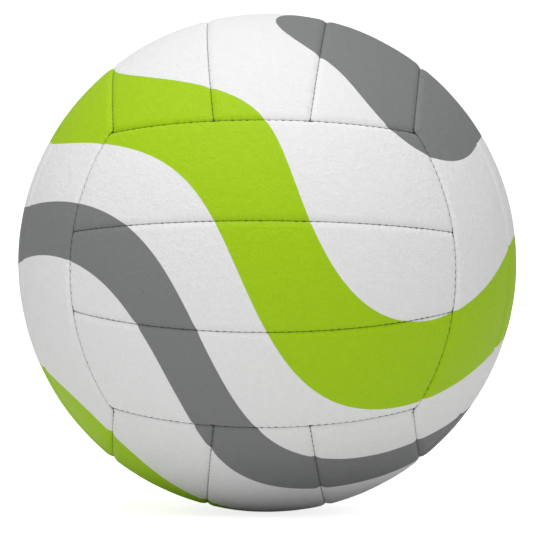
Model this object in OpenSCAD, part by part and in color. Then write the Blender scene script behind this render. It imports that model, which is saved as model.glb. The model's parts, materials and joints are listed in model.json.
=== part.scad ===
// Machine-stitched volleyball: eighteen cushioned panels sewn edge to edge round a bladder.
// The origin is the ball's centre. +Z is up, the front face looks along -Y and the valve along +Y.
// Each of the six faces is a trio of strips, and neighbouring faces run crosswise to each other.
// A sewn ball isn't quite even, so each pair of opposite faces has its own seam angles.

/* [Ball] */
// Diameter of the inflated ball over its panels
ball_d = 210; // [190:1:230]

/* [Seams] */
// Angle from the middle of the front and back faces to their end seams, in degrees
front_end_angle = 49.8; // [49.3:0.1:52.5]
// Angle from the middle of the left and right faces to their end seams, in degrees
side_end_angle = 51.4; // [50.5:0.1:52.5]
// Angle from the middle of the top and bottom faces to their end seams, in degrees
top_end_angle = 52.3; // [50.5:0.1:53]
// Angle from the middle of the front and back faces to their strip seams, in degrees
front_strip_angle = 12.7; // [11:0.1:15]
// Angle from the middle of the left and right faces to their strip seams, in degrees
side_strip_angle = 13.3; // [11:0.1:15]
// Angle from the middle of the top and bottom faces to their strip seams, in degrees
top_strip_angle = 13.9; // [11:0.1:15]
// Lean of the strip seams' planes on the front and back faces, in degrees
front_strip_lean = 10.5; // [5:0.5:12]
// Lean of those on the left and right faces, in degrees
side_strip_lean = 7; // [5:0.5:10]
// Lean of those on the top and bottom faces, in degrees
top_strip_lean = 7.5; // [4:0.5:10]
// Share of the radius by which a corner of the front face lies to the left or right of its middle
corner_side_share = 0.603; // [0.57:0.003:0.609]
// Share of the radius by which it lies above or below the middle
corner_rise_share = 0.551; // [0.548:0.003:0.584]
// Depth that a panel's rounded shoulder drops to across its two ends
end_groove_depth = 1.2; // [1.1:0.05:1.5]
// Depth that the shoulder drops to along the panel's two long sides
side_groove_depth = 1; // [0.8:0.05:1.05]
// Width of the shoulder across the ends
end_shoulder_w = 3.8; // [2.5:0.1:5]
// Width of the shoulder along the long sides
side_shoulder_w = 3.4; // [2.5:0.1:5]

/* [Panel layers] */
// Thickness of the grained cover skin
skin_t = 1.3; // [1.1:0.1:2]
// Thickness of the skin's turned-in edge
hem_t = 1; // [0.8:0.1:1.6]
// Thickness of the foam pad under the skin
foam_t = 2.8; // [2:0.1:4]
// Thickness of the cloth glued under the foam
cloth_t = 0.5; // [0.3:0.1:1]
// Gap between one layer and the next
layer_gap = 0.1; // [0.05:0.05:0.2]

/* [Seam thread] */
// Diameter of the sewing thread
thread_d = 0.7; // [0.5:0.05:0.9]
// Gap between the thread and the turned-in panel edges on either side of it
thread_gap = 0.05; // [0.05:0.05:0.15]

/* [Bladder and valve] */
// Thickness of the bladder's wall
bladder_t = 0.8; // [0.6:0.1:1.6]
// Diameter of the rubber patch that holds the valve to the bladder
patch_d = 34; // [30:1:44]
// Thickness of that patch
patch_t = 1; // [0.6:0.1:1.5]
// Diameter of the valve housing's flange
flange_d = 22; // [18:1:28]
// Thickness of the flange
flange_t = 1.5; // [1:0.1:2.5]
// Diameter of the valve housing's neck
neck_d = 8.4; // [7.6:0.1:10]
// Depth of the neck's rim below the skin
neck_recess = 0.8; // [0.4:0.1:1.5]
// Length of the housing's tail inside the bladder
tail_h = 12; // [8:0.5:16]
// Diameter of the valve core's plug
core_d = 5; // [4:0.1:6]
// Diameter of the core's head
core_head_d = 6.4; // [6.2:0.1:7]
// Thickness of the core's head
core_head_t = 1.2; // [0.8:0.1:2]
// Length of the core under its head
core_h = 15; // [12:0.5:17]
// Diameter of the bore for the inflating needle
needle_d = 2; // [1.6:0.1:2.4]
// Depth of the needle bore, which ends before the core's sealing slit
needle_h = 10; // [8:0.5:11]
// Gap between one valve piece and the next
valve_gap = 0.1; // [0.05:0.05:0.2]

/* [Hidden] */
$fn = 96;
overrun = 2;
ball_r = ball_d / 2;

// Radii of the layers, from the skin inwards
skin_in_r = ball_r - skin_t;
foam_out_r = skin_in_r - layer_gap;
foam_in_r = foam_out_r - foam_t;
cloth_out_r = foam_in_r - layer_gap;
cloth_in_r = cloth_out_r - cloth_t;
bladder_out_r = cloth_in_r - layer_gap;
bladder_in_r = bladder_out_r - bladder_t;
patch_out_r = bladder_in_r - layer_gap;
patch_in_r = patch_out_r - patch_t;
flange_out_r = patch_in_r - layer_gap;
flange_in_r = flange_out_r - flange_t;

// Every seam is a circle on the ball. The faces' corners lie almost as a cube's do.
seam_r = ball_r - end_groove_depth;
corner_depth_share = sqrt(1 - pow(corner_side_share, 2) - pow(corner_rise_share, 2));
// The pairs of opposite faces are front and back, left and right, top and bottom.
// Shares of the radius at which a pair's corners lie along its strips, across them and outwards
CORNER_SHARES = [
    [corner_side_share, corner_rise_share, corner_depth_share],
    [corner_rise_share, corner_depth_share, corner_side_share],
    [corner_depth_share, corner_side_share, corner_rise_share]
];
END_ANGLES = [front_end_angle, side_end_angle, top_end_angle];
STRIP_ANGLES = [front_strip_angle, side_strip_angle, top_strip_angle];
STRIP_LEANS = [front_strip_lean, side_strip_lean, top_strip_lean];
// The pair whose end seams are a pair's side seams
CROSSWISE = [2, 0, 1];

// Lean of the planes of a pair's end seams, and the half angle of their circles
function end_lean(pair) = atan2(
    cos(END_ANGLES[pair]) - CORNER_SHARES[pair][2],
    sin(END_ANGLES[pair]) - CORNER_SHARES[pair][0]
);
function end_half_angle(pair) =
    acos(CORNER_SHARES[pair][2] * cos(end_lean(pair)) - CORNER_SHARES[pair][0] * sin(end_lean(pair)));

// Half angle of the circles of a pair's strip seams
function strip_half_angle(pair) = 90 - STRIP_ANGLES[pair] + STRIP_LEANS[pair];

// How far a panel's edge, the inside of its turned-in hem and its pad lie from the seam's plane
edge_inset = thread_d / 2 + thread_gap;
hem_inset = edge_inset + hem_t;
pad_inset = hem_inset + layer_gap;
// Depth of the thread's middle below the skin: it lies in the bottom of the groove
thread_depth = end_groove_depth + thread_d / 2;

// A shoulder from the panel's edge inwards: shares of its width, then of the depth that it drops to.
// The last share is above the skin, so the shoulder ends where it meets the ball.
shoulder_shares = [[0, 1], [0.2, 0.5], [0.55, 0.15], [1.2, -0.15]];

neck_hole_d = neck_d + 2 * valve_gap;
neck_top_r = ball_r - neck_recess;
core_bore_d = core_d + 2 * valve_gap;
core_head_bore_d = core_head_d + 2 * valve_gap;
core_seat_r = neck_top_r - core_head_t - valve_gap;
tail_end_r = flange_in_r - tail_h;
core_end_r = neck_top_r - core_head_t - core_h;

// The six faces: a name, the turn that brings +Z to the face and X along its strips,
// the names of its strips from the low side of the face's Y to the high side, and its pair
FACES = [
    ["front", [90, 0, 0], ["lower", "middle", "upper"], 0],
    ["back", [90, 0, 180], ["lower", "middle", "upper"], 0],
    ["left", [0, -90, 0], ["front", "middle", "back"], 1],
    ["right", [0, 90, 0], ["front", "middle", "back"], 1],
    ["top", [0, 0, -90], ["left", "middle", "right"], 2],
    ["bottom", [180, 0, 90], ["left", "middle", "right"], 2]
];
STRIPS = [-1, 0, 1];
VALVE_STRIP = "back_middle";

function strip_name(face, strip) = str(face[0], "_", face[2][strip + 1]);

STRIP_NAMES = [for (face = FACES) for (strip = STRIPS) strip_name(face, strip)];

WHITE = [0.93, 0.93, 0.92];
LIME = [0.66, 0.84, 0.13];
GREY = [0.52, 0.53, 0.53];

// The panels that show mostly lime or grey. The others are mostly white.
LIME_STRIPS = ["front_upper", "left_middle", "left_back", "top_left", "bottom_left"];
GREY_STRIPS = ["top_right", "right_middle", "bottom_right"];

function listed(name, names) = len([for (other = names) if (other == name) other]) > 0;
function cover_colour(name) =
    listed(name, LIME_STRIPS) ? LIME : listed(name, GREY_STRIPS) ? GREY : WHITE;

// Distance from the ball's centre to the plane of a seam circle
function seam_plane(half_angle) = seam_r * cos(half_angle);

// Point of a profile turned about a seam's axis, given its distance off the seam's plane
// and its height above the skin
function seam_point(half_angle, off_plane, above_skin) =
    let (along = seam_plane(half_angle) + off_plane)
    [sqrt(pow(ball_r + above_skin, 2) - pow(along, 2)), along];

// Degrees that a length covers on a circle
function arc_angle(length, radius) = length / radius * 180 / PI;

// A strip's four bounds on a face that looks along +Z. Each is the turn of a seam circle's axis,
// the circle's half angle, the side of its plane that the strip lies on, the turn about the axis
// that faces away from the strip, and the depth and width of the strip's shoulder there.
function end_bound(pair, end) = [
    [0, -end * end_lean(pair), 0],
    end_half_angle(pair),
    1,
    90 + end * 90,
    end_groove_depth,
    end_shoulder_w
];
function side_bound(pair, edge) = [
    [-edge * (90 + end_lean(CROSSWISE[pair])), 0, 0],
    end_half_angle(CROSSWISE[pair]),
    -1,
    edge * 90,
    side_groove_depth,
    side_shoulder_w
];
function strip_bound(pair, edge, side) = [
    [-edge * (90 + STRIP_LEANS[pair]), 0, 0],
    strip_half_angle(pair),
    side,
    edge * 90,
    side_groove_depth,
    side_shoulder_w
];
function strip_bounds(pair, strip) = concat(
    [end_bound(pair, -1), end_bound(pair, 1)],
    strip == 0
        ? [strip_bound(pair, -1, -1), strip_bound(pair, 1, -1)]
        : [strip_bound(pair, strip, 1), side_bound(pair, strip)]
);

// All that lies on a bound's side of its seam plane, moved away from the seam by the inset
module beyond_seam(bound, inset) {
    side = bound[2];
    low = seam_plane(bound[1]) + side * inset - (side < 0 ? 2 * ball_d : 0);
    rotate(bound[0])
        translate([-ball_d, -ball_d, low])
            cube(2 * ball_d);
}

// The same from the panel's edge on, rounded down to that edge from the ball's surface
module beyond_shoulder(bound) {
    side = bound[2];
    shoulder = [
        for (share = shoulder_shares)
            seam_point(bound[1], side * (edge_inset + share[0] * bound[5]), -share[1] * bound[4])
    ];
    low = shoulder[0][1];
    high = shoulder[len(shoulder) - 1][1];
    outside = [[ball_d, high], [ball_d, side * ball_d], [0, side * ball_d], [0, low]];
    rotate(bound[0])
        rotate([0, 0, bound[3]])
            rotate_extrude()
                polygon(concat(shoulder, outside));
}

// A whole hollow ball, its poles on the Y axis and its surface's join on the far side from the face
module layer(outer_r, inner_r) {
    rotate([90, 90, 0]) {
        difference() {
            sphere(outer_r);
            sphere(inner_r);
        }
    }
}

// One strip of a layer, its edges moved in from the seams by the inset
module strip_layer(pair, strip, outer_r, inner_r, inset) {
    bounds = strip_bounds(pair, strip);
    intersection() {
        layer(outer_r, inner_r);
        beyond_seam(bounds[0], inset);
        beyond_seam(bounds[1], inset);
        beyond_seam(bounds[2], inset);
        beyond_seam(bounds[3], inset);
    }
}

// The hole that the valve's neck comes up through, on the face that looks along +Z
module neck_hole() {
    cylinder(d = neck_hole_d, h = ball_d);
}

// A panel's cover: grained skin, turned in along its seams into a tray for the foam and cloth
module cover(pair, strip) {
    bounds = strip_bounds(pair, strip);
    difference() {
        intersection() {
            layer(ball_r, cloth_in_r);
            beyond_shoulder(bounds[0]);
            beyond_shoulder(bounds[1]);
            beyond_shoulder(bounds[2]);
            beyond_shoulder(bounds[3]);
        }
        strip_layer(pair, strip, skin_in_r, cloth_in_r - overrun, hem_inset);
    }
}

// The pad of foam that fills the cover's tray
module foam_pad(pair, strip) {
    strip_layer(pair, strip, foam_out_r, foam_in_r, pad_inset);
}

// The cloth that closes the tray from inside
module cloth_backing(pair, strip) {
    strip_layer(pair, strip, cloth_out_r, cloth_in_r, pad_inset);
}

module with_neck_hole(name) {
    difference() {
        children();
        if (name == VALVE_STRIP) neck_hole();
    }
}

module panel(name, pair, strip) {
    color(cover_colour(name)) with_neck_hole(name) cover(pair, strip);
}

module foam(name, pair, strip) {
    color("lightyellow") with_neck_hole(name) foam_pad(pair, strip);
}

module cloth_backings(face) {
    color("gainsboro") {
        for (strip = STRIPS) with_neck_hole(strip_name(face, strip)) cloth_backing(face[3], strip);
    }
}

// A thread along a seam, as far each way as the angle from the middle of the seam.
// The bound's own turn faces away from the face, so half a turn more faces the seam's middle.
module seam_thread(bound, half_arc) {
    rotate(bound[0])
        rotate([0, 0, bound[3] + 180 - half_arc])
            rotate_extrude(angle = 2 * half_arc)
                translate(seam_point(bound[1], 0, -thread_depth))
                    circle(d = thread_d);
}

// The threads of a face's two end seams, each ending short of its corners
module end_seam_threads(pair) {
    corner = CORNER_SHARES[pair];
    corner_angle = atan2(corner[1], corner[0] * cos(end_lean(pair)) + corner[2] * sin(end_lean(pair)));
    stop_angle = arc_angle(thread_d, seam_r * sin(end_half_angle(pair)));
    color("dimgray") {
        for (end = [-1, 1]) seam_thread(end_bound(pair, end), corner_angle - stop_angle);
    }
}

// The angle from the middle of a strip seam's thread to where it meets a plane that lies
// inside the end seam's plane by the inset
function strip_thread_angle(pair, inset) =
    let (
        centre = seam_point(strip_half_angle(pair), 0, -thread_depth),
        toward_face = cos(end_lean(pair)) * cos(STRIP_LEANS[pair]),
        toward_end = sin(end_lean(pair)),
        lift = centre[1] * cos(end_lean(pair)) * sin(STRIP_LEANS[pair]),
        level = seam_plane(end_half_angle(pair)) + inset + lift
    )
    acos(level / centre[0] / norm([toward_face, toward_end])) - atan2(toward_end, toward_face);

// The threads of a face's two strip seams, each ending short of the end seams' threads
module strip_seam_threads(pair) {
    half_arc = strip_thread_angle(pair, edge_inset + thread_d / 2);
    color("dimgray") {
        for (edge = [-1, 1]) seam_thread(strip_bound(pair, edge, 1), half_arc);
    }
}

module bladder() {
    color("dimgray") {
        difference() {
            layer(bladder_out_r, bladder_in_r);
            neck_hole();
        }
    }
}

// The rubber disc that holds the valve to the inside of the bladder
module valve_patch() {
    color("gray") {
        difference() {
            intersection() {
                layer(patch_out_r, patch_in_r);
                cylinder(d = patch_d, h = ball_d);
            }
            neck_hole();
        }
    }
}

// The valve's rubber sleeve: a neck up to the skin, a flange under the patch, a tail in the bladder
module valve_housing() {
    color("darkslategray") {
        difference() {
            union() {
                intersection() {
                    layer(flange_out_r, flange_in_r);
                    cylinder(d = flange_d, h = ball_d);
                }
                translate([0, 0, tail_end_r]) cylinder(d = neck_d, h = neck_top_r - tail_end_r);
            }
            translate([0, 0, tail_end_r - overrun]) cylinder(d = core_bore_d, h = ball_d);
            translate([0, 0, core_seat_r]) cylinder(d = core_head_bore_d, h = ball_d);
        }
    }
}

// The self-sealing core: a headed rubber plug with a blind bore for the inflating needle
module valve_core() {
    color("black") {
        difference() {
            union() {
                translate([0, 0, core_end_r]) cylinder(d = core_d, h = neck_top_r - core_end_r);
                translate([0, 0, neck_top_r - core_head_t]) cylinder(d = core_head_d, h = core_head_t);
            }
            translate([0, 0, neck_top_r - needle_h]) cylinder(d = needle_d, h = needle_h + overrun);
        }
    }
}

// The valve's pieces are drawn along +Z and turned to the face that holds them
VALVE_TURN = FACES[1][1];

for (face = FACES) {
    turn = face[1];
    pair = face[3];
    for (strip = STRIPS) {
        name = strip_name(face, strip);
        rotate(turn) panel(name, pair, strip);
        rotate(turn) foam(name, pair, strip);
    }
    rotate(turn) cloth_backings(face);
    rotate(turn) end_seam_threads(pair);
    rotate(turn) strip_seam_threads(pair);
}
rotate(VALVE_TURN) bladder();
rotate(VALVE_TURN) valve_patch();
rotate(VALVE_TURN) valve_housing();
rotate(VALVE_TURN) valve_core();
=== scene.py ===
# %% [markdown]
# # Dressing a stitched volleyball
# A volleyball of this build is a rubber bladder inside eighteen cushioned panels. The panels lie in
# six trios, each crosswise to its neighbours, and are sewn edge to edge with dark thread.
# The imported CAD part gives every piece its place. This lesson remakes what shows from outside,
# the panels and their stitches, in finer form, and gives every piece a procedural finish.

# %% Load the ball's CAD frame
import json

import bmesh
import bpy
import numpy as np
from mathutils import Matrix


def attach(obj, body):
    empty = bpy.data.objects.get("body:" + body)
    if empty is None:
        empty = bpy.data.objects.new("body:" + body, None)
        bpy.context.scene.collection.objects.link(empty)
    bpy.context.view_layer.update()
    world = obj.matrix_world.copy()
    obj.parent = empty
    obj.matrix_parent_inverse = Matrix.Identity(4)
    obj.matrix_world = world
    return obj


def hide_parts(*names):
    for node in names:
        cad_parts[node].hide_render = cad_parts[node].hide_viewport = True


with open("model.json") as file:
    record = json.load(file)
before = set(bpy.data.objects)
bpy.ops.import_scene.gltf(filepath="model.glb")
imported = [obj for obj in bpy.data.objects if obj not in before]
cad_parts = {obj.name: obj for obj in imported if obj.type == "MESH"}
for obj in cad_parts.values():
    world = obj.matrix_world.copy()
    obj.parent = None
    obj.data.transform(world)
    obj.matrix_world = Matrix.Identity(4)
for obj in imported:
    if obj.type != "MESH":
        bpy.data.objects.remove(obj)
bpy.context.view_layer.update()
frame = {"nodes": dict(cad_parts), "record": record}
# Sizes are written in millimetres, as in the CAD part, and scaled to metres
MM = 0.001
BALL_R = 105.0

# %% [markdown]
# ## The camera
# The photograph is taken from three metres off with a long lens, so the ball's outline is almost a
# true circle. The face's corners show how far the camera stands to the right of the ball's middle
# and above it. A wide lens close by would frame the ball as well but would bulge its front panels.

# %% Place the camera
AZIMUTH, ELEVATION = np.radians(1.6), np.radians(3.2)
DISTANCE, LENS, SENSOR_W = 3.15, 505, 36
# The picture's middle lies a little left of the ball's and below it
SHIFT_X, SHIFT_Y = -0.0015, -0.0071
FARTHEST_SEEN = 200

camera = bpy.data.objects.new("camera", bpy.data.cameras.new("camera"))
bpy.context.scene.collection.objects.link(camera)
bpy.context.scene.camera = camera
toward_camera = np.array([
    np.sin(AZIMUTH) * np.cos(ELEVATION),
    -np.cos(AZIMUTH) * np.cos(ELEVATION),
    np.sin(ELEVATION),
])
camera.location = toward_camera * DISTANCE
camera.rotation_euler = (np.pi / 2 - ELEVATION, 0, AZIMUTH)
camera.data.lens = LENS
camera.data.sensor_width = SENSOR_W
camera.data.shift_x, camera.data.shift_y = SHIFT_X, SHIFT_Y
camera.data.clip_end = FARTHEST_SEEN
print("camera at", [round(c, 3) for c in camera.location])

# %% [markdown]
# ## Floor and light
# The ball lies on a white studio floor under soft light that comes mostly from above: a wide
# softbox overhead, a weaker one high in front and an even white sky. The floor throws much of it
# back up, which keeps the underside pale. Part of the floor's white is a glow that only the camera
# sees, so that its shadows stay faint. Small lamps would throw hard shadows and glints instead.

# %% Build the studio
FLOOR_Z = -BALL_R * MM


def floor_material(albedo, glow):
    material = bpy.data.materials.new("studio_floor")
    material.use_nodes = True
    tree = material.node_tree
    shader = tree.nodes["Principled BSDF"]
    shader.inputs["Base Color"].default_value = (albedo, albedo, albedo, 1)
    shader.inputs["Roughness"].default_value = 0.9
    shader.inputs["Specular IOR Level"].default_value = 0.0
    shader.inputs["Emission Color"].default_value = (1, 1, 1, 1)
    seen = tree.nodes.new("ShaderNodeLightPath").outputs["Is Camera Ray"]
    lit = tree.nodes.new("ShaderNodeMath")
    lit.operation = "MULTIPLY"
    lit.inputs[1].default_value = glow
    tree.links.new(seen, lit.inputs[0])
    tree.links.new(lit.outputs[0], shader.inputs["Emission Strength"])
    return material


def make_floor(half_side, material):
    corners = [(x * half_side, y * half_side) for x, y in ((-1, -1), (1, -1), (1, 1), (-1, 1))]
    mesh = bpy.data.meshes.new("studio_floor")
    mesh.from_pydata([(x, y, FLOOR_Z) for x, y in corners], [], [(0, 1, 2, 3)])
    mesh.materials.append(material)
    floor = bpy.data.objects.new("studio_floor", mesh)
    bpy.context.scene.collection.objects.link(floor)


def add_softbox(name, place, size, power):
    lamp = bpy.data.lights.new(name, "AREA")
    lamp.shape, lamp.size, lamp.size_y, lamp.energy = "RECTANGLE", size[0], size[1], power
    softbox = bpy.data.objects.new(name, lamp)
    bpy.context.scene.collection.objects.link(softbox)
    softbox.location = place
    direction = -softbox.location
    softbox.rotation_euler = direction.to_track_quat("-Z", "Y").to_euler()


def set_sky(strength):
    """An even sky that fills in what the softboxes leave dark, and that the camera sees as white."""
    world = bpy.data.worlds.new("studio_sky")
    world.use_nodes = True
    tree = world.node_tree
    background = tree.nodes["Background"]
    background.inputs["Color"].default_value = (1, 1, 1, 1)
    seen = tree.nodes.new("ShaderNodeLightPath").outputs["Is Camera Ray"]
    lift = tree.nodes.new("ShaderNodeMath")
    lift.operation = "MAXIMUM"
    lift.inputs[1].default_value = strength
    tree.links.new(seen, lift.inputs[0])
    tree.links.new(lift.outputs[0], background.inputs["Strength"])
    bpy.context.scene.world = world


make_floor(half_side=60, material=floor_material(albedo=0.88, glow=0.82))
add_softbox("overhead_softbox", place=(-0.1, -0.4, 2.8), size=(2.6, 2.6), power=55)
add_softbox("front_softbox", place=(-0.3, -1.9, 2.2), size=(2.4, 1.6), power=24)
set_sky(strength=0.36)
bpy.context.scene.view_settings.view_transform = "Standard"

# %% [markdown]
# ## The seams, as circles
# Every seam lies in a plane, so on the ball it is a circle about an axis. A trio of strips is
# bounded by its own two end seams, by the end seams of its neighbours at its sides, and by two
# strip seams between its strips. The corners of the trios lie almost as the corners of a cube do,
# but a sewn ball isn't quite even, so each pair of opposite faces has its own angles.
# Seams drawn as free curves could drift apart where three of them meet, and circles can't.

# %% Lay out the seam circles
SEAM_R = BALL_R - 1.2
CORNER_SIDE, CORNER_RISE = 0.603, 0.551
CORNER_DEPTH = np.sqrt(1 - CORNER_SIDE**2 - CORNER_RISE**2)
FRONT, SIDE, TOP = 0, 1, 2
# For each pair of opposite faces: where its corners lie along its strips, across them and outwards
CORNERS = [
    (CORNER_SIDE, CORNER_RISE, CORNER_DEPTH),
    (CORNER_RISE, CORNER_DEPTH, CORNER_SIDE),
    (CORNER_DEPTH, CORNER_SIDE, CORNER_RISE),
]
END_ANGLES = np.radians([49.8, 51.4, 52.3])
STRIP_LEANS = np.radians([10.5, 7, 7.5])
STRIP_ANGLES = np.radians([12.7, 13.3, 13.9])
# The pair whose end seams are a pair's side seams
CROSSWISE = [TOP, FRONT, SIDE]

# Each face: the directions along its strips, across them and outwards, its strips' names, its pair
FACES = {
    "front": ((1, 0, 0), (0, 0, 1), (0, -1, 0), ("lower", "middle", "upper"), FRONT),
    "back": ((-1, 0, 0), (0, 0, 1), (0, 1, 0), ("lower", "middle", "upper"), FRONT),
    "left": ((0, 0, 1), (0, 1, 0), (-1, 0, 0), ("front", "middle", "back"), SIDE),
    "right": ((0, 0, -1), (0, 1, 0), (1, 0, 0), ("front", "middle", "back"), SIDE),
    "top": ((0, -1, 0), (1, 0, 0), (0, 0, 1), ("left", "middle", "right"), TOP),
    "bottom": ((0, 1, 0), (1, 0, 0), (0, 0, -1), ("left", "middle", "right"), TOP),
}


def face_turn(face):
    """The matrix that takes a face's own directions to the ball's."""
    return np.array(FACES[face][:3], float)


class Seam:
    """A seam circle: its axis, its plane's distance from the centre, and which side the strip is on."""

    def __init__(self, axis, plane, side):
        self.axis, self.plane, self.side = np.array(axis), plane, side

    def angle(self, radius=BALL_R, inset=0.0):
        """The circle's half angle on a ball of that radius, its plane moved in by the inset."""
        return np.arccos((self.plane + self.side * inset) / radius)

    def distance(self, points):
        """How far along the ball's surface each direction lies from the seam."""
        return self.side * BALL_R * (self.angle() - np.arccos(np.clip(points @ self.axis, -1, 1)))

    def middle(self):
        """The direction from the axis to the seam's middle, and the one in which the seam runs there."""
        toward_middle = np.array([0, 0, 1.0]) - self.axis[2] * self.axis
        toward_middle /= np.linalg.norm(toward_middle)
        return toward_middle, np.cross(self.axis, toward_middle)

    def along(self, points):
        """Each direction's place along the seam, measured from the seam's middle."""
        toward_middle, onward = self.middle()
        return np.arctan2(points @ onward, points @ toward_middle) * BALL_R * np.sin(self.angle())


def end_plane(pair):
    """The lean of a pair's end seam planes, and their distance from the centre."""
    along, _, out = CORNERS[pair]
    lean = np.arctan2(np.cos(END_ANGLES[pair]) - out, np.sin(END_ANGLES[pair]) - along)
    return lean, SEAM_R * (out * np.cos(lean) - along * np.sin(lean))


def end_seam(pair, end):
    lean, plane = end_plane(pair)
    return Seam((-end * np.sin(lean), 0, np.cos(lean)), plane, 1)


def side_seam(pair, edge):
    lean, plane = end_plane(CROSSWISE[pair])
    return Seam((0, edge * np.cos(lean), -np.sin(lean)), plane, -1)


def strip_seam(pair, edge, side):
    lean = STRIP_LEANS[pair]
    plane = SEAM_R * np.sin(STRIP_ANGLES[pair] - lean)
    return Seam((0, edge * np.cos(lean), -np.sin(lean)), plane, side)


def seams_of(pair, strip):
    """A strip's seams: its two ends, then its low and its high edge."""
    low, high = {
        -1: (side_seam(pair, -1), strip_seam(pair, -1, 1)),
        0: (strip_seam(pair, -1, -1), strip_seam(pair, 1, -1)),
        1: (strip_seam(pair, 1, 1), side_seam(pair, 1)),
    }[strip]
    return [end_seam(pair, -1), end_seam(pair, 1), low, high]


leans = [round(float(np.degrees(end_plane(pair)[0])), 1) for pair in (FRONT, SIDE, TOP)]
print("end seams lean", leans, "degrees")

# %% [markdown]
# ## A patch of the ball between four seams
# A strip has four curved edges, so a grid is stretched between them as a Coons patch: each point
# blends the edges across from it, and is then pushed out to the ball. The rows crowd together near
# the seams, where the leather rounds over and is pinched by the stitches. A flat grid wrapped on
# the ball would leave its rows crossing the seams at a slant.

# %% Stretch a grid between a strip's seams
EDGE_CELLS = [0.1, 0.12, 0.14, 0.17, 0.2, 0.24, 0.28, 0.33, 0.39]


def corner_between(first, second, first_angle, second_angle):
    """Where two seam circles cross on the face's side of the ball."""
    k = first.axis @ second.axis
    a, b = np.cos(first_angle), np.cos(second_angle)
    in_plane = (a - k * b) / (1 - k * k) * first.axis + (b - k * a) / (1 - k * k) * second.axis
    normal = np.cross(first.axis, second.axis)
    height = np.sqrt(1 - in_plane @ in_plane) / np.linalg.norm(normal)
    choices = [in_plane + height * normal, in_plane - height * normal]
    return max(choices, key=lambda point: point[2])


def arc(axis, start, stop, shares):
    """Points on the circle about the axis from start to stop, at those shares of the way."""
    turn = np.arctan2(axis @ np.cross(start, stop), start @ stop - (axis @ start) * (axis @ stop))
    angles = (turn * shares)[:, None]
    return (
        start * np.cos(angles)
        + np.cross(axis, start) * np.sin(angles)
        + axis * (axis @ start) * (1 - np.cos(angles))
    )


def patch(seams, angles, along, across):
    """A grid of directions between four circles of those half angles, at those shares of the way."""
    ends, edges = seams[:2], seams[2:]
    corners = [
        [corner_between(end, edge, angles[i], angles[2 + j]) for j, edge in enumerate(edges)]
        for i, end in enumerate(ends)
    ]
    low = arc(edges[0].axis, corners[0][0], corners[1][0], along)[:, None]
    high = arc(edges[1].axis, corners[0][1], corners[1][1], along)[:, None]
    near = arc(ends[0].axis, corners[0][0], corners[0][1], across)[None, :]
    far = arc(ends[1].axis, corners[1][0], corners[1][1], across)[None, :]
    s, t = along[:, None, None], across[None, :, None]
    flat = (
        (1 - s) * ((1 - t) * corners[0][0] + t * corners[0][1])
        + s * ((1 - t) * corners[1][0] + t * corners[1][1])
    )
    points = (1 - t) * low + t * high + (1 - s) * near + s * far - flat
    return points / np.linalg.norm(points, axis=-1, keepdims=True)


def crowded_shares(length, cells):
    """Shares from 0 to 1 with small cells at both ends and even ones between."""
    first = np.cumsum([0] + EDGE_CELLS)
    inner = np.linspace(first[-1], length - first[-1], cells - 2 * len(EDGE_CELLS) + 1)
    places = np.concatenate([first, inner[1:-1], length - first[::-1]])
    return places / length


ALONG = crowded_shares(length=145, cells=320)
ACROSS = crowded_shares(length=43, cells=112)
print(len(ALONG), "by", len(ACROSS), "points in a panel's grid")

# %% [markdown]
# ## Cushioned leather
# A panel is skin over foam, pulled in along its seams: it lies full in the middle, rounds over
# within a few millimetres of the seam, and dips a little deeper at every stitch and where seams
# meet. The form is worked out from each point's distance to the seams, which keeps the two sides
# of a seam alike. Sculpting by hand would look as real, but would drift from panel to panel.

# %% Shape the skin
STITCH_PITCH = 3.0
# The form is a sum of falls towards the seams, each with its depth and how far it reaches
SHOULDER_DEPTH, SHOULDER_W = 0.8, 3.1
FOLD_DEPTH, FOLD_W = 0.15, 0.25
PILLOW_DEPTH, PILLOW_W = 0.05, 8
# Each stitch pulls a narrow notch with a wide dimple round it, and each junction sinks to a pit
NOTCH_DEPTH, NOTCH_W = 0.3, 0.8
DIMPLE_DEPTH, DIMPLE_W = 0.06, 2.2
PIT_DEPTH, PIT_W = 0.35, 1.2
# The slit's half width between stitches, and how far a stitch opens it and moves the leather
SLIT_HALF, SLIT_OPEN, OPEN_REACH = 0.03, 0.13, 0.7
RIPPLE_DEPTH = 0.045
# How sharply the falls of two seams meet at a corner
CORNER_KEEN = 4


def stitch_pulse(place, sharpness=3):
    """1 at each stitch along a seam, falling to 0 between stitches."""
    return np.cos(np.pi * place / STITCH_PITCH) ** (2 * sharpness)


def junctions():
    """The directions where a strip seam meets an end seam, and where three trios meet."""
    found = []
    for face in FACES:
        pair, turn = FACES[face][4], face_turn(face)
        for end in (-1, 1):
            for edge in (-1, 1):
                for crossing in (strip_seam(pair, edge, 1), side_seam(pair, edge)):
                    first = end_seam(pair, end)
                    found.append(corner_between(first, crossing, first.angle(), crossing.angle()) @ turn)
    return np.array(found)


JUNCTIONS = junctions()


def ripple(points, turn):
    """Slow unevenness of the leather, about a tenth of a millimetre, in the ball's own frame."""
    x, y, z = (points @ turn).reshape(-1, 3).T
    waves = (
        np.sin(17 * x + 9 * y + 1.3) * np.sin(15 * z - 7 * y + 0.4)
        + 0.6 * np.sin(31 * y - 23 * z + 2.1) * np.sin(29 * x + 11 * z + 0.7)
        + 0.4 * np.sin(57 * z + 41 * x + 0.9) * np.sin(61 * y - 37 * x + 1.9)
    )
    return (RIPPLE_DEPTH * (waves - 2)).reshape(points.shape[:-1])


def tightness(points, turn):
    """How hard each stitch is pulled: it differs a little from stitch to stitch along the ball."""
    x, y, z = (points @ turn).reshape(-1, 3).T
    slow, quick = np.sin(31 * x - 27 * y + 35 * z + 0.5), np.sin(131 * x + 97 * y + 153 * z + 0.7)
    return (0.9 + 0.15 * slow + 0.3 * quick).reshape(points.shape[:-1])


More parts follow.
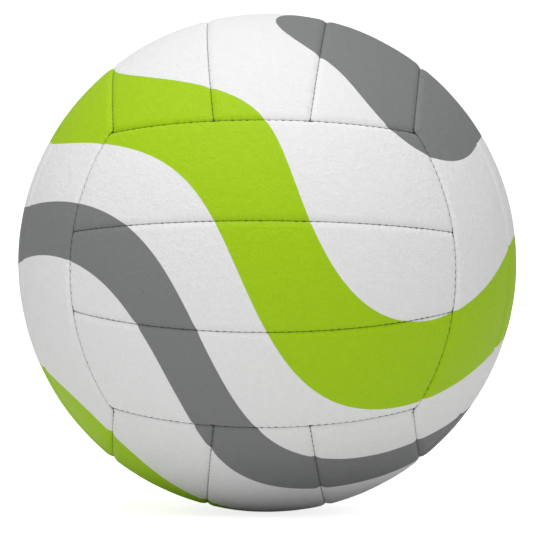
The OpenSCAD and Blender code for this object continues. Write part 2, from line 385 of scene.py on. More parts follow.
def shape_skin(points, seams, turn):
    """Moves the edge away from the slit at each stitch, and gives each point its height."""
    pull = tightness(points, turn)
    for seam in seams:
        distance = np.clip(seam.distance(points), 0, None)
        reach = pull * stitch_pulse(seam.along(points), 2) * np.exp(-distance / OPEN_REACH)
        away = seam.side * (seam.axis - (points @ seam.axis)[..., None] * points)
        away /= np.linalg.norm(away, axis=-1, keepdims=True)
        points = points + away * (reach * SLIT_OPEN / BALL_R)[..., None]
    points = points / np.linalg.norm(points, axis=-1, keepdims=True)
    falls, folds, pillow, pinch = 0, 0, 0, 0
    for seam in seams:
        distance = np.clip(seam.distance(points), 0, None)
        falls = falls + np.clip(1 - distance / SHOULDER_W, 0, 1) ** (2 * CORNER_KEEN)
        folds = folds + np.exp(-CORNER_KEEN * distance / FOLD_W)
        pillow = pillow + PILLOW_DEPTH * np.exp(-distance / PILLOW_W)
        notch = NOTCH_DEPTH * np.exp(-((distance / NOTCH_W) ** 1.5))
        dimple = DIMPLE_DEPTH * np.exp(-distance / DIMPLE_W)
        pinch = pinch + pull * stitch_pulse(seam.along(points)) * (notch + dimple)
    shoulder = SHOULDER_DEPTH * falls ** (1 / CORNER_KEEN) + FOLD_DEPTH * folds ** (1 / CORNER_KEEN)
    world = points @ turn
    near = np.min(np.linalg.norm(world[..., None, :] - JUNCTIONS, axis=-1), axis=-1) * BALL_R
    pit = PIT_DEPTH * np.exp(-((near / PIT_W) ** 2))
    return points, BALL_R - shoulder - pillow - pinch - pit + ripple(points, turn)


print(len(JUNCTIONS), "seam junctions")

# %% [markdown]
# ## From skin to closed panel
# The leather is turned in at its edges and forms a tray for the foam and the cloth. So the skin's
# edge goes down the slit, past the thread, to the hem, back up inside the hem, and closes under
# the skin. The underside is seen only when the ball is taken apart, so its cells are eight times
# as long, and each edge cell takes up eight of the fine points.

# %% Turn the edges in and close the panel
SKIN_IN_R, CLOTH_IN_R, UNDER_THREAD_R = 103.7, 100.2, BALL_R - 2.2
# How far from the seam the slit's wall lies below the thread, and the hem's two sides
SLIT_WALL_IN, HEM_OUT, HEM_IN = 0.28, 0.4, 1.4
COARSE = 8


def edge_loop(grid):
    """The border of a grid, once round."""
    return np.concatenate([grid[:-1, 0], grid[-1, :-1], grid[:0:-1, -1], grid[0, :0:-1]])


def loop_numbers(rows, columns):
    numbers = np.arange(rows * columns).reshape(rows, columns)
    return numbers, edge_loop(numbers)


def tray_rings(seams):
    """The rings under the skin's edge: below the thread, the hem's foot, inside it, under the skin."""
    rings = []
    for radius, inset, in_plane in (
        (UNDER_THREAD_R, SLIT_WALL_IN, False),
        (CLOTH_IN_R, HEM_OUT, True),
        (CLOTH_IN_R, HEM_IN, True),
        (SKIN_IN_R, HEM_IN, True),
    ):
        if in_plane:
            angles = [seam.angle(radius, inset) for seam in seams]
        else:
            angles = [seam.angle() - seam.side * inset / BALL_R for seam in seams]
        rings.append((radius, angles))
    return rings


def panel_mesh(name, pair, strip, turn):
    seams = seams_of(pair, strip)
    angles = [seam.angle() - seam.side * SLIT_HALF / BALL_R for seam in seams]
    skin, height = shape_skin(patch(seams, angles, ALONG, ACROSS), seams, turn)
    rows, columns = len(ALONG), len(ACROSS)
    numbers, border = loop_numbers(rows, columns)
    vertices = [(skin * height[..., None]).reshape(-1, 3)]
    quads = np.stack([numbers[:-1, :-1], numbers[1:, :-1], numbers[1:, 1:], numbers[:-1, 1:]], -1)
    faces = quads.reshape(-1, 4).tolist()
    count, upper = rows * columns, border
    for radius, ring_angles in tray_rings(seams):
        under = patch(seams, ring_angles, ALONG, ACROSS)
        lower = count + np.arange(len(border))
        vertices.append(edge_loop(under) * radius)
        faces += np.stack([upper, lower, np.roll(lower, -1), np.roll(upper, -1)], -1).tolist()
        count, upper = count + len(border), lower
    inner = under[COARSE:-COARSE:COARSE, COARSE:-COARSE:COARSE]
    vertices.append(inner.reshape(-1, 3) * radius)
    faces += underside_cells(rows, columns, upper, count)
    mesh = bpy.data.meshes.new(name)
    mesh.from_pydata((np.concatenate(vertices) @ turn * MM).tolist(), [], faces)
    return mesh


def underside_cells(rows, columns, border, start):
    """Coarse cells under the skin. Those at the edge run through every fine point of the border."""
    place = np.full((rows, columns), -1)
    loop = loop_numbers(rows, columns)[1]
    place[loop // columns, loop % columns] = border
    high, wide = (rows - 1) // COARSE, (columns - 1) // COARSE
    inner = start + np.arange((high - 1) * (wide - 1)).reshape(high - 1, wide - 1)
    place[COARSE:-COARSE:COARSE, COARSE:-COARSE:COARSE] = inner
    cells = []
    for i in range(0, rows - 1, COARSE):
        for j in range(0, columns - 1, COARSE):
            round_it = (
                [place[i + k, j] for k in range(COARSE)]
                + [place[i + COARSE, j + k] for k in range(COARSE)]
                + [place[i + COARSE - k, j + COARSE] for k in range(COARSE)]
                + [place[i, j + COARSE - k] for k in range(COARSE)]
            )
            cells.append([int(n) for n in round_it if n >= 0][::-1])
    return cells


def new_piece(name, mesh):
    piece = bpy.data.objects.new(name, mesh)
    bpy.context.scene.collection.objects.link(piece)
    return piece


def each_strip():
    """Every strip's name, its pair of faces, its place in the trio and its face's turn."""
    for face, (*_, strip_names, pair) in FACES.items():
        for strip in (-1, 0, 1):
            yield f"{face}_{strip_names[strip + 1]}", pair, strip, face_turn(face)


panels = {}
for name, pair, strip, turn in each_strip():
    panels[name] = new_piece(f"{name}_cover", panel_mesh(f"{name}_cover", pair, strip, turn))
print(len(panels), "covers of", len(panels["front_middle"].data.polygons), "faces")

# %% [markdown]
# ## Room for the valve
# The neck of the valve comes up through the middle panel at the back. The hole is cut with a
# Boolean, because it has to be round and the grid around it is not, and the skin sinks slightly
# towards it. Snapping grid points to a circle would spare the modifier but leave uneven cells.

# %% Sink the skin and cut the valve's hole
NECK_HOLE_R = 4.3
SINK, SINK_W = 0.35, 6.5
# The cutter's middle on the valve's axis, and its length
CUTTER_PLACE, CUTTER_L = 102, 12


def sink_skin(mesh):
    points = np.empty(len(mesh.vertices) * 3)
    mesh.vertices.foreach_get("co", points)
    points = points.reshape(-1, 3)
    off_axis = np.hypot(points[:, 0], points[:, 2]) / MM
    outside = np.linalg.norm(points, axis=1) > (SKIN_IN_R + 0.5) * MM
    drop = SINK * MM * np.exp(-((off_axis / SINK_W) ** 4)) * outside
    points[:, 1] -= drop
    mesh.vertices.foreach_set("co", points.ravel())
    mesh.update()


def cut_round_hole(piece, radius):
    cutter_mesh = bpy.data.meshes.new("neck_hole")
    tool = bmesh.new()
    bmesh.ops.create_cone(
        tool, cap_ends=True, segments=72, radius1=radius * MM, radius2=radius * MM, depth=CUTTER_L * MM
    )
    tool.to_mesh(cutter_mesh)
    tool.free()
    cutter = new_piece("neck_hole", cutter_mesh)
    cutter.rotation_euler = (np.pi / 2, 0, 0)
    cutter.location = (0, CUTTER_PLACE * MM, 0)
    cut = piece.modifiers.new("neck_hole", "BOOLEAN")
    cut.operation, cut.solver, cut.object = "DIFFERENCE", "EXACT", cutter
    graph = bpy.context.evaluated_depsgraph_get()
    holed = bpy.data.meshes.new_from_object(piece.evaluated_get(graph))
    piece.modifiers.remove(cut)
    old, piece.data = piece.data, holed
    bpy.data.meshes.remove(old)
    bpy.data.objects.remove(cutter)
    bpy.data.meshes.remove(cutter_mesh)


sink_skin(panels["back_middle"].data)
faces_before = len(panels["back_middle"].data.polygons)
cut_round_hole(panels["back_middle"], NECK_HOLE_R)
print("faces before and after the cut:", faces_before, len(panels["back_middle"].data.polygons))

# %% [markdown]
# ## How near each point is to a seam
# Some of the finish depends on the seams: shade is painted onto the turned-in edge of the leather, which lies
# in the slit.
# The distance to the nearest seam is kept on the mesh as an attribute, so that the material can
# read it. A painted mask would need a texture, and a bevel node would find every other edge too.

# %% Store the distance to the seams
# Below this radius the leather is turned in, and counts as being at the seam, so it gets the full painted
# shade of the slit
TURNED_IN_R = BALL_R - 1.5


def store_seam_distance(mesh, seams, turn):
    points = np.empty(len(mesh.vertices) * 3)
    mesh.vertices.foreach_get("co", points)
    points = points.reshape(-1, 3)
    directions = points / np.linalg.norm(points, axis=1, keepdims=True) @ turn.T
    distance = np.min([seam.distance(directions) for seam in seams], axis=0)
    distance[np.linalg.norm(points, axis=1) < TURNED_IN_R * MM] = 0
    attribute = mesh.attributes.new("seam_distance", "FLOAT", "POINT")
    attribute.data.foreach_set("value", distance)


for name, pair, strip, turn in each_strip():
    mesh = panels[name].data
    store_seam_distance(mesh, seams_of(pair, strip), turn)
    mesh.shade_smooth()
    mesh.set_sharp_from_angle(angle=np.radians(50))
print("seam distances stored on", len(panels), "covers")

# %% [markdown]
# ## Shader helpers
# The finishes are sums of small steps, so two helpers write them briefly: one adds a maths node
# and one a node of any kind. Effects that several materials share are node groups, built once
# with named inputs and outputs, and they put out only colours, masks and heights.

# %% Helpers for shader nodes


def add_node(tree, kind, inputs=None, **settings):
    """A node with its settings, and its inputs set or linked by name or number."""
    node = tree.nodes.new(kind)
    for key, value in settings.items():
        setattr(node, key, value)
    for key, value in (inputs or {}).items():
        if isinstance(value, bpy.types.NodeSocket):
            tree.links.new(value, node.inputs[key])
        else:
            node.inputs[key].default_value = value
    return node


def sum_up(tree, operation, *values):
    """The result of a maths node on numbers or sockets."""
    return add_node(tree, "ShaderNodeMath", dict(enumerate(values)), operation=operation).outputs[0]


def vector_value(tree, operation, first, second):
    """The number that a vector maths node gives."""
    node = add_node(tree, "ShaderNodeVectorMath", {0: first, 1: second}, operation=operation)
    return node.outputs["Value"]


def mix_colours(tree, share, first, second, blend="MIX"):
    inputs = {0: share, 6: first, 7: second}
    return add_node(tree, "ShaderNodeMix", inputs, data_type="RGBA", blend_type=blend).outputs[2]


def new_group(name, inputs, outputs):
    """An empty shader group with named sockets, and its input and output nodes."""
    group = bpy.data.node_groups.new(name, "ShaderNodeTree")
    for in_out, sockets in (("INPUT", inputs), ("OUTPUT", outputs)):
        for socket_name, (kind, value) in sockets.items():
            socket = group.interface.new_socket(socket_name, in_out=in_out, socket_type=kind)
            if value is not None:
                socket.default_value = value
    return group, group.nodes.new("NodeGroupInput").outputs, group.nodes.new("NodeGroupOutput").inputs


NUMBER, COLOUR, VECTOR = "NodeSocketFloat", "NodeSocketColor", "NodeSocketVector"

# %% [markdown]
# ## The printed bands
# The ball is white with wavy bands of lime and grey that run on over the seams, because the sheet
# is printed before it is sewn. Each band lies between two heights above a slanted equator, and a
# slow wave round the ball bends both its edges. Shapes cut as separate faces would tie the print
# to the mesh, while this group reads only the place of a point on the ball.

# %% Print group
WAVES_ROUND, WAVE_HEIGHT = 3.0, 0.2
# The lower and upper edge of each band, as angles above the slanted equator
LIME_BAND, GREY_BAND = (0.12, 0.52), (-0.42, -0.17)
# The edge of each cap, and how much of the wave it takes
LIME_CAP, GREY_CAP = (-0.92, 0.35), (1.08, 0.3)
EDGE_KEEN = 500.0
BAND_AXIS = np.array([0.55, -0.2, 0.8]) / np.linalg.norm([0.55, -0.2, 0.8])
BAND_SIDE = np.cross(BAND_AXIS, (0, 1, 0))
BAND_SIDE /= np.linalg.norm(BAND_SIDE)
BAND_FRONT = np.cross(BAND_AXIS, BAND_SIDE)


def make_print_group():
    group, given, out = new_group(
        "wavy_print",
        {
            "Place": (VECTOR, None),
            "Ground": (COLOUR, (0.8, 0.8, 0.8, 1)),
            "First ink": (COLOUR, (0.4, 0.6, 0.02, 1)),
            "Second ink": (COLOUR, (0.2, 0.2, 0.2, 1)),
            "Wave height": (NUMBER, WAVE_HEIGHT),
        },
        {"Colour": (COLOUR, None), "Ink": (NUMBER, None)},
    )
    outward = add_node(group, "ShaderNodeVectorMath", {0: given["Place"]}, operation="NORMALIZE").outputs[0]
    rise = vector_value(group, "DOT_PRODUCT", outward, tuple(BAND_AXIS))
    sideways = vector_value(group, "DOT_PRODUCT", outward, tuple(BAND_SIDE))
    forward = vector_value(group, "DOT_PRODUCT", outward, tuple(BAND_FRONT))
    height = sum_up(group, "ARCSINE", rise)
    turn_round = sum_up(group, "ARCTAN2", sideways, forward)
    swing = sum_up(group, "SINE", sum_up(group, "MULTIPLY", turn_round, WAVES_ROUND))
    wave = sum_up(group, "MULTIPLY", swing, given["Wave height"])

    def above(level, wave_share=1.0):
        """1 where the point is above a wavy line, softened over a fifth of a millimetre."""
        line = sum_up(group, "MULTIPLY_ADD", wave, wave_share, level)
        over = sum_up(group, "MULTIPLY_ADD", sum_up(group, "SUBTRACT", height, line), EDGE_KEEN, 0.5)
        return sum_up(group, "MINIMUM", sum_up(group, "MAXIMUM", over, 0.0), 1.0)

    def between(low, high):
        return sum_up(group, "SUBTRACT", above(low), above(high))

    low_cap = sum_up(group, "SUBTRACT", 1.0, above(*LIME_CAP))
    lime = sum_up(group, "MAXIMUM", between(*LIME_BAND), low_cap)
    grey = sum_up(group, "MAXIMUM", between(*GREY_BAND), above(*GREY_CAP))
    colour = mix_colours(group, lime, given["Ground"], given["First ink"])
    group.links.new(mix_colours(group, grey, colour, given["Second ink"]), out["Colour"])
    group.links.new(sum_up(group, "MAXIMUM", lime, grey), out["Ink"])
    return group


print_group = make_print_group()
print("print group:", len(print_group.nodes), "nodes")

# %% [markdown]
# ## Leather grain
# The cover is a soft synthetic leather with a fine pebbled grain, under half a millimetre across,
# over broader, fainter creases. Cells of a Voronoi texture give the pebbles, and two noises give
# the pores and the creases. The group also puts out a tone that dulls the hollows slightly.

# %% Grain group
PEBBLE_BEND = 0.00025


def make_grain_group():
    group, given, out = new_group(
        "leather_grain",
        {"Place": (VECTOR, None), "Pebble size": (NUMBER, 0.0004), "Crease size": (NUMBER, 0.0028)},
        {"Height": (NUMBER, None), "Tone": (NUMBER, None)},
    )
    pebble_scale = sum_up(group, "DIVIDE", 1.0, given["Pebble size"])
    crease_scale = sum_up(group, "DIVIDE", 1.0, given["Crease size"])
    bend = add_node(
        group, "ShaderNodeTexNoise", {"Vector": given["Place"], "Scale": pebble_scale, "Detail": 1.0}
    ).outputs["Color"]
    bent = add_node(
        group, "ShaderNodeVectorMath",
        {0: bend, 1: (PEBBLE_BEND,) * 3, 2: given["Place"]}, operation="MULTIPLY_ADD",
    ).outputs[0]
    pebbles = add_node(
        group, "ShaderNodeTexVoronoi", {"Vector": bent, "Scale": pebble_scale, "Randomness": 0.9},
        feature="SMOOTH_F1",
    ).outputs["Distance"]
    pore_scale = sum_up(group, "MULTIPLY", pebble_scale, 0.45)
    pores = add_node(
        group, "ShaderNodeTexNoise",
        {"Vector": given["Place"], "Scale": pore_scale, "Detail": 4.0, "Roughness": 0.6},
    ).outputs["Fac"]
    creases = add_node(
        group, "ShaderNodeTexNoise",
        {"Vector": given["Place"], "Scale": crease_scale, "Detail": 3.0, "Distortion": 0.6},
    ).outputs["Fac"]
    raised = sum_up(group, "SUBTRACT", 1.0, pebbles)
    fine = sum_up(group, "MULTIPLY_ADD", raised, 0.6, sum_up(group, "MULTIPLY", pores, 0.7))
    group.links.new(sum_up(group, "MULTIPLY_ADD", creases, 1.5, fine), out["Height"])
    tone = sum_up(group, "MULTIPLY_ADD", sum_up(group, "SUBTRACT", pores, 0.5), 0.16, 1.0)
    broad = sum_up(group, "SUBTRACT", creases, 0.5)
    group.links.new(sum_up(group, "MULTIPLY_ADD", broad, 0.05, tone), out["Tone"])
    return group


grain_group = make_grain_group()
print("grain group:", len(grain_group.nodes), "nodes")

# %% [markdown]
# ## The cover's finish
# One printed leather covers the whole ball: its colour comes from the print, its grain from the
# grain group, and the seam distance paints shade onto the turned-in edge that lies in the slit. The
# sheen is low, so the surface is rough with a weak reflection. A glossy coat would be right for a
# patent leather ball, not for this one.

# %% Printed cover material
WHITE, LIME, GREY = (0.82, 0.82, 0.82), (0.37, 0.60, 0.006), (0.208, 0.213, 0.213)


def new_material(name, roughness, specular):
    """A material with its uniform values on the shader, and the shader, tree and object place."""
    material = bpy.data.materials.new(name)
    material.use_nodes = True
    tree = material.node_tree
    shader = tree.nodes["Principled BSDF"]
    shader.inputs["Roughness"].default_value = roughness
    shader.inputs["Specular IOR Level"].default_value = specular
    place = add_node(tree, "ShaderNodeTexCoord").outputs["Object"]
    return material, tree, shader, place


def use_group(tree, group, inputs):
    """The outputs of a group placed in a material, with its inputs set or linked."""
    return add_node(tree, "ShaderNodeGroup", inputs, node_tree=group).outputs


def set_bump(tree, shader, height, depth):
    """Raises the surface by up to the depth, in metres, where the height is 1."""
    bump = add_node(tree, "ShaderNodeBump", {"Height": height, "Distance": depth, "Strength": 1.0})
    tree.links.new(bump.outputs["Normal"], shader.inputs["Normal"])


def make_cover_material():
    material, tree, shader, place = new_material("printed_leather", roughness=0.55, specular=0.15)
    print_out = use_group(tree, print_group, {
        "Place": place, "Ground": (*WHITE, 1), "First ink": (*LIME, 1), "Second ink": (*GREY, 1),
    })
    grain = use_group(tree, grain_group, {"Place": place})
    distance = add_node(tree, "ShaderNodeAttribute", attribute_name="seam_distance").outputs["Fac"]
    # Painted shade in the slit: the colour is multiplied down to 0.6 towards the turned-in edge
    shade = add_node(
        tree, "ShaderNodeMapRange",
        {"Value": distance, "From Min": 0.0, "From Max": 0.35, "To Min": 0.6, "To Max": 1.0},
        interpolation_type="SMOOTHSTEP",
    ).outputs["Result"]
    tone = sum_up(tree, "MULTIPLY", grain["Tone"], shade)
    grey_tone = add_node(tree, "ShaderNodeCombineColor", {0: tone, 1: tone, 2: tone}).outputs[0]
    colour = mix_colours(tree, 1.0, print_out["Colour"], grey_tone, "MULTIPLY")
    tree.links.new(colour, shader.inputs["Base Color"])
    roughness = sum_up(tree, "MULTIPLY_ADD", print_out["Ink"], -0.06, 0.56)
    tree.links.new(sum_up(tree, "MULTIPLY_ADD", grain["Height"], 0.03, roughness), shader.inputs["Roughness"])
    set_bump(tree, shader, grain["Height"], depth=0.00028)
    return material


cover_material = make_cover_material()
for piece in panels.values():
    piece.data.materials.clear()
    piece.data.materials.append(cover_material)
print("cover material:", len(cover_material.node_tree.nodes), "nodes")

# %% [markdown]
# ## Stitches
# Each seam is closed by a strand in the bottom of the slit, and the lock stitches show as short
# dark bars, three millimetres apart, where the slit is pulled open. Geometry Nodes lay one curved
# bar on every stitch point of a seam line and sweep the strand along the line. Bars placed by hand
# or by an array along a curve would neither follow the ball nor keep their count when it changes.

# %% Thread finish


def make_thread_material():
    material, tree, shader, place = new_material("waxed_thread", roughness=0.5, specular=0.4)
    twist = add_node(
        tree, "ShaderNodeTexWave", {"Vector": place, "Scale": 900.0, "Distortion": 3.0, "Detail": 2.0},
        wave_type="BANDS", bands_direction="DIAGONAL",
    ).outputs["Fac"]
    colour = mix_colours(tree, twist, (0.012, 0.012, 0.012, 1), (0.05, 0.05, 0.048, 1))
    tree.links.new(colour, shader.inputs["Base Color"])
    set_bump(tree, shader, twist, depth=0.00006)
    return material


thread_material = make_thread_material()
print("thread material:", len(thread_material.node_tree.nodes), "nodes")

# %% Stitch tree
SWAY = 0.12
TUBE_SIDES, BAR_STEPS = 6, 6


def sweep(tree, curve, radius):
    """A tube of that radius along a curve, closed at its ends."""
    profile = add_node(tree, "GeometryNodeCurvePrimitiveCircle", {"Resolution": TUBE_SIDES, "Radius": radius})
    inputs = {"Curve": curve, "Profile Curve": profile.outputs[0], "Fill Caps": True}
    return add_node(tree, "GeometryNodeCurveToMesh", inputs).outputs[0]


def make_stitch_tree():
    tree = bpy.data.node_groups.new("seam_stitches", "GeometryNodeTree")
    for name, kind, value in (
        ("Seam line", "NodeSocketGeometry", None),
        ("Stitch length", NUMBER, 0.0018),
        ("Stitch rise", NUMBER, 0.0004),
        ("Thread radius", NUMBER, 0.00025),
        ("Strand radius", NUMBER, 0.0003),
        ("Seed", "NodeSocketInt", 7),
    ):
        socket = tree.interface.new_socket(name, in_out="INPUT", socket_type=kind)
        if value is not None:
            socket.default_value = value
    tree.interface.new_socket("Stitches", in_out="OUTPUT", socket_type="NodeSocketGeometry")
    given = tree.nodes.new("NodeGroupInput").outputs
    line = add_node(tree, "GeometryNodeMeshToCurve", {"Mesh": given["Seam line"]}).outputs[0]
    strand = sweep(tree, line, given["Strand radius"])
    half = sum_up(tree, "MULTIPLY", given["Stitch length"], 0.5)
    back = sum_up(tree, "MULTIPLY", half, -1.0)
    dip = sum_up(tree, "MULTIPLY", given["Stitch rise"], -1.0)
    bar = add_node(tree, "GeometryNodeCurveQuadraticBezier", {
        "Resolution": BAR_STEPS,
        "Start": add_node(tree, "ShaderNodeCombineXYZ", {"X": back, "Z": dip}).outputs[0],
        "Middle": add_node(tree, "ShaderNodeCombineXYZ", {"Z": given["Stitch rise"]}).outputs[0],
        "End": add_node(tree, "ShaderNodeCombineXYZ", {"X": half, "Z": dip}).outputs[0],
    })
    stitch = sweep(tree, bar.outputs[0], given["Thread radius"])
    place = add_node(tree, "GeometryNodeInputPosition").outputs[0]
    outward = add_node(tree, "ShaderNodeVectorMath", {0: place}, operation="NORMALIZE").outputs[0]
    tangent = add_node(tree, "GeometryNodeInputTangent").outputs[0]
    facing = add_node(
        tree, "FunctionNodeAxesToRotation", {0: outward, 1: tangent}, primary_axis="Z", secondary_axis="X"
    ).outputs[0]
    sway = add_node(
        tree, "FunctionNodeRandomValue", {2: -SWAY, 3: SWAY, "Seed": given["Seed"]}, data_type="FLOAT"
    ).outputs[1]
    sway_axis = add_node(tree, "ShaderNodeCombineXYZ", {"Z": sway}).outputs[0]
    swayed = add_node(
        tree, "FunctionNodeRotateRotation",
        {0: facing, 1: add_node(tree, "FunctionNodeEulerToRotation", {0: sway_axis}).outputs[0]},
        rotation_space="LOCAL",
    ).outputs[0]
    chosen = add_node(
        tree, "GeometryNodeInputNamedAttribute", {"Name": "stitch"}, data_type="FLOAT"
    ).outputs["Attribute"]
    is_stitch = add_node(
        tree, "FunctionNodeCompare", {0: chosen, 1: 0.5}, data_type="FLOAT", operation="GREATER_THAN"
    ).outputs[0]
    stitches = add_node(
        tree, "GeometryNodeInstanceOnPoints",
        {"Points": line, "Selection": is_stitch, "Instance": stitch, "Rotation": swayed},
    ).outputs[0]
    joined = add_node(tree, "GeometryNodeJoinGeometry")
    tree.links.new(stitches, joined.inputs[0])
    tree.links.new(strand, joined.inputs[0])
    real = add_node(tree, "GeometryNodeRealizeInstances", {0: joined.outputs[0]})
    smooth = add_node(tree, "GeometryNodeSetShadeSmooth", {0: real.outputs[0]})
    finished = add_node(
        tree, "GeometryNodeSetMaterial", {"Geometry": smooth.outputs[0], "Material": thread_material}
    )
    tree.links.new(finished.outputs[0], tree.nodes.new("NodeGroupOutput").inputs[0])
    return tree


stitch_tree = make_stitch_tree()
print("stitch tree:", len(stitch_tree.nodes), "nodes")

# %% [markdown]
# ## Seam lines for the stitches
# The tree needs a line to follow. Each line is a row of points round the seam circle, one for each
# stitch, with two more that carry the strand on to the junctions. A face's two end seams make one
# piece and its two strip seams another, as the threads of the CAD part do.

# %% Sew the seams
STRAND_R = BALL_R - 1.4
# What the strand leaves free before a junction, and what the last stitch leaves free before its end
STRAND_GAP, STITCH_GAP = 0.5, 0.8


def seam_line(seam, stop_seam):
    """Points along a seam as far as another seam on both sides, and which of them hold a stitch."""
    corner = corner_between(seam, stop_seam, seam.angle(), stop_seam.angle())
    reach = abs(seam.along(corner[None])[0]) - STRAND_GAP
    stitches = int((reach - STITCH_GAP) / STITCH_PITCH)
    places = np.concatenate([[-reach], np.arange(-stitches, stitches + 1) * STITCH_PITCH, [reach]])
    angles = (places / (BALL_R * np.sin(seam.angle())))[:, None]
    toward_middle, onward = seam.middle()
    circle = np.sin(seam.angle()) * (toward_middle * np.cos(angles) + onward * np.sin(angles))
    marked = [0.0] + [1.0] * (2 * stitches + 1) + [0.0]
    return (circle + np.cos(seam.angle()) * seam.axis) * STRAND_R, marked


def sew(name, lines, turn, seed):
    """One piece with the strands and stitches of those seam lines."""
    points = np.concatenate([line for line, _ in lines]) @ turn * MM
    edges, start = [], 0
    for line, _ in lines:
        edges += [(start + k, start + k + 1) for k in range(len(line) - 1)]
        start += len(line)
    mesh = bpy.data.meshes.new(name)
    mesh.from_pydata(points.tolist(), edges, [])
    flags = mesh.attributes.new("stitch", "FLOAT", "POINT")
    flags.data.foreach_set("value", [flag for _, marked in lines for flag in marked])
    piece = new_piece(name, mesh)
    sewing = piece.modifiers.new("sewing", "NODES")
    sewing.node_group = stitch_tree
    seed_socket = next(s for s in stitch_tree.interface.items_tree if s.name == "Seed")
    sewing[seed_socket.identifier] = seed
    graph = bpy.context.evaluated_depsgraph_get()
    sewn = bpy.data.meshes.new_from_object(piece.evaluated_get(graph))
    piece.modifiers.remove(sewing)
    piece.data = sewn
    sewn.name = name
    bpy.data.meshes.remove(mesh)
    if "stitch" in sewn.attributes:
        sewn.attributes.remove(sewn.attributes["stitch"])
    return piece


threads = {}
for number, face in enumerate(FACES):
    pair, turn = FACES[face][4], face_turn(face)
    ends = [seam_line(end_seam(pair, end), side_seam(pair, 1)) for end in (-1, 1)]
    strips = [seam_line(strip_seam(pair, edge, 1), end_seam(pair, 1)) for edge in (-1, 1)]
    threads[f"{face}_end_seam_threads"] = sew(f"{face}_end_stitches", ends, turn, 2 * number)
    threads[f"{face}_strip_seam_threads"] = sew(f"{face}_strip_stitches", strips, turn, 2 * number + 1)
print(len(threads), "thread pieces,", sum(len(t.data.polygons) for t in threads.values()), "faces")

# %% [markdown]
# ## Foam, cloth and rubber
# The pieces under the cover keep their CAD shapes and need only their finishes: open foam with
# small cells, plain woven cloth, and matt rubber. They show when the ball is taken apart, and the
# valve shows in its hole at the back.

# %% Inner finishes


def make_foam_material():
    material, tree, shader, place = new_material("foam", roughness=0.9, specular=0.2)
    cells = add_node(tree, "ShaderNodeTexVoronoi", {"Vector": place, "Scale": 1400.0}).outputs["Distance"]
    colour = mix_colours(tree, cells, (0.72, 0.69, 0.56, 1), (0.86, 0.83, 0.7, 1))
    tree.links.new(colour, shader.inputs["Base Color"])
    set_bump(tree, shader, cells, depth=0.0002)
    return material


def make_cloth_material():
    material, tree, shader, place = new_material("plain_weave", roughness=0.85, specular=0.2)
    weave = []
    for direction in ("X", "Y", "Z"):
        weave.append(add_node(
            tree, "ShaderNodeTexWave", {"Vector": place, "Scale": 500.0, "Distortion": 0.4},
            wave_type="BANDS", bands_direction=direction,
        ).outputs["Fac"])
    raised = sum_up(tree, "MAXIMUM", weave[0], weave[1])
    crossed = sum_up(tree, "MULTIPLY", raised, sum_up(tree, "MULTIPLY_ADD", weave[2], 0.5, 0.5))
    colour = mix_colours(tree, crossed, (0.55, 0.55, 0.53, 1), (0.8, 0.8, 0.78, 1))
    tree.links.new(colour, shader.inputs["Base Color"])
    set_bump(tree, shader, crossed, depth=0.0001)
    return material


def make_rubber_material(name, dark, light, roughness, grain_size):
    """Matt rubber between two greys, with a bloom of that grain on it."""
    material, tree, shader, place = new_material(name, roughness, specular=0.4)
    bloom = add_node(
        tree, "ShaderNodeTexNoise",
        {"Vector": place, "Scale": 1 / grain_size, "Detail": 5.0, "Roughness": 0.65},
    ).outputs["Fac"]
    colour = mix_colours(tree, bloom, (dark, dark, dark, 1), (light, light, light, 1))
    tree.links.new(colour, shader.inputs["Base Color"])
    tree.links.new(sum_up(tree, "MULTIPLY_ADD", bloom, 0.2, roughness - 0.1), shader.inputs["Roughness"])
    set_bump(tree, shader, bloom, depth=grain_size * 0.05)
    return material


finishes = {
    "thread": thread_material,
    "foam": make_foam_material(),
    "cloth": make_cloth_material(),
    "bladder_rubber": make_rubber_material("bladder_rubber", 0.03, 0.055, roughness=0.6, grain_size=0.004),
    "valve_rubber": make_rubber_material("valve_rubber", 0.1, 0.15, roughness=0.55, grain_size=0.0012),
    "core_rubber": make_rubber_material("core_rubber", 0.02, 0.04, roughness=0.45, grain_size=0.0012),
}
print("inner finishes:", sorted(finishes))

# %% [markdown]
# ## A turned valve
# The valve is two rubber mouldings: a sleeve with a flange inside the bladder, and a plug with a
# blind bore for the inflating needle, pressed into it. Both are round, so each is a profile turned
# about the valve's axis, with its corners eased as a mould leaves them. Bevelling the CAD solids
# would ease them too, but their triangles are loose and would first have to be merged.

# %% Turn the valve's sleeve and core
# Radii from the valve's axis, and heights from the ball's centre
FLANGE_R, NECK_R, SEAT_R, BORE_R = 11.0, 4.2, 3.3, 2.6
HEAD_R, CORE_R, NEEDLE_R, NEEDLE_MOUTH_R = 3.2, 2.5, 1.0, 1.35
NECK_TOP = BALL_R - 0.8
FLANGE_OUT, FLANGE_IN = 98.1, 96.6
TAIL_END, CORE_END = FLANGE_IN - 12, NECK_TOP - 16.2
HEAD_FOOT, SEAT_FOOT = NECK_TOP - 1.2, NECK_TOP - 1.3
NEEDLE_FOOT, FUNNEL_FOOT = NECK_TOP - 10, NECK_TOP - 0.6
# The core's head is dished towards the needle's mouth
DISH_R, DISH_TOP, MOUTH_TOP = HEAD_R * 0.6, NECK_TOP - 0.12, NECK_TOP - 0.15


def on_dome(radius, off_axis):
    """A point of a profile on the ball of that radius."""
    return off_axis, np.sqrt(radius**2 - off_axis**2)


def ease(corners, steps=6):
    """The profile through the corners, each given as a point and the length that its rounding takes."""
    count, profile = len(corners), []
    for k, (point, length) in enumerate(corners):
        point = np.array(point)
        if length == 0:
            profile.append(point)
            continue
        before = np.array(corners[k - 1][0]) - point
        after = np.array(corners[(k + 1) % count][0]) - point
        before, after = (side / np.linalg.norm(side) * length for side in (before, after))
        for s in np.linspace(0, 1, steps):
            profile.append(point + (1 - s) ** 2 * before + s**2 * after)
    return profile


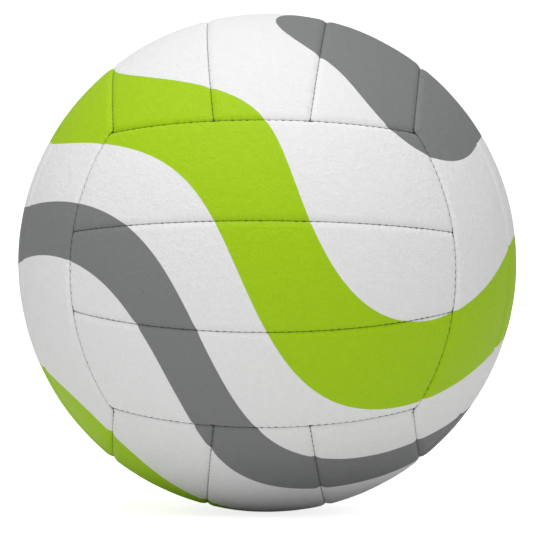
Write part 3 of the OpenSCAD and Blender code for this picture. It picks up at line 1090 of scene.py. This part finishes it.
def turned_mesh(name, profile, segments=96):
    """A closed profile turned about the ball's Y axis. Points on the axis become poles."""
    shape = bmesh.new()
    angles = np.linspace(0, 2 * np.pi, segments, endpoint=False)
    rings = []
    for off_axis, height in profile:
        places = [(0.0, height, 0.0)]
        if off_axis > 1e-6:
            places = [(off_axis * np.cos(a), height, off_axis * np.sin(a)) for a in angles]
        rings.append([shape.verts.new([c * MM for c in place]) for place in places])
    for ring, other in zip(rings, rings[1:] + rings[:1]):
        if len(ring) == len(other) == 1:
            continue
        for k in range(segments):
            near, far = ([row[(k + step) % len(row)] for step in (0, 1)] for row in (ring, other))
            shape.faces.new(list(dict.fromkeys(near + far[::-1])))
    bmesh.ops.recalc_face_normals(shape, faces=shape.faces)
    mesh = bpy.data.meshes.new(name)
    shape.to_mesh(mesh)
    shape.free()
    mesh.shade_smooth()
    mesh.set_sharp_from_angle(angle=np.radians(35))
    return mesh


sleeve_profile = ease([
    ((BORE_R, TAIL_END), 0.3),
    ((BORE_R, SEAT_FOOT), 0),
    ((SEAT_R, SEAT_FOOT), 0),
    ((SEAT_R, NECK_TOP), 0.25),
    ((NECK_R, NECK_TOP), 0.35),
    (on_dome(FLANGE_OUT, NECK_R), 0.4),
    (on_dome(FLANGE_OUT, FLANGE_R / 2), 0),
    (on_dome(FLANGE_OUT, FLANGE_R), 0.5),
    (on_dome(FLANGE_IN, FLANGE_R), 0.5),
    (on_dome(FLANGE_IN, FLANGE_R / 2), 0),
    (on_dome(FLANGE_IN, NECK_R), 0.4),
    ((NECK_R, TAIL_END), 0.5),
])
core_profile = ease([
    ((0, CORE_END), 0),
    ((CORE_R, CORE_END), 0.6),
    ((CORE_R, HEAD_FOOT), 0),
    ((HEAD_R, HEAD_FOOT), 0.2),
    ((HEAD_R, NECK_TOP), 0.35),
    ((DISH_R, DISH_TOP), 0.5),
    ((NEEDLE_MOUTH_R, MOUTH_TOP), 0.15),
    ((NEEDLE_R, FUNNEL_FOOT), 0.2),
    ((NEEDLE_R, NEEDLE_FOOT), 0),
    ((0, NEEDLE_FOOT), 0),
])
valve_pieces = {}
for node, name, profile, rubber in (
    ("valve_housing", "valve_sleeve", sleeve_profile, "valve_rubber"),
    ("valve_core", "valve_plug", core_profile, "core_rubber"),
):
    valve_pieces[node] = new_piece(name, turned_mesh(name, profile))
    valve_pieces[node].data.materials.append(finishes[rubber])
print("valve pieces:", {piece.name: len(piece.data.polygons) for piece in valve_pieces.values()})

# %% [markdown]
# ## Every piece in its place
# The new covers, stitches and valve stand for their CAD nodes and ride on the ball's one body. What
# is left of the CAD nodes takes its finish by the slot that the record gives it.

# %% Dress the nodes
slots = {part["node"]: part["material_slot"] for part in frame["record"]["subparts"]}

for name, piece in panels.items():
    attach(piece, "root")
    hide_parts(f"{name}_panel")
for node, piece in {**threads, **valve_pieces}.items():
    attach(piece, "root")
    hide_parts(node)
for node, obj in frame["nodes"].items():
    obj.data.materials.clear()
    obj.data.materials.append(finishes.get(slots[node], cover_material))
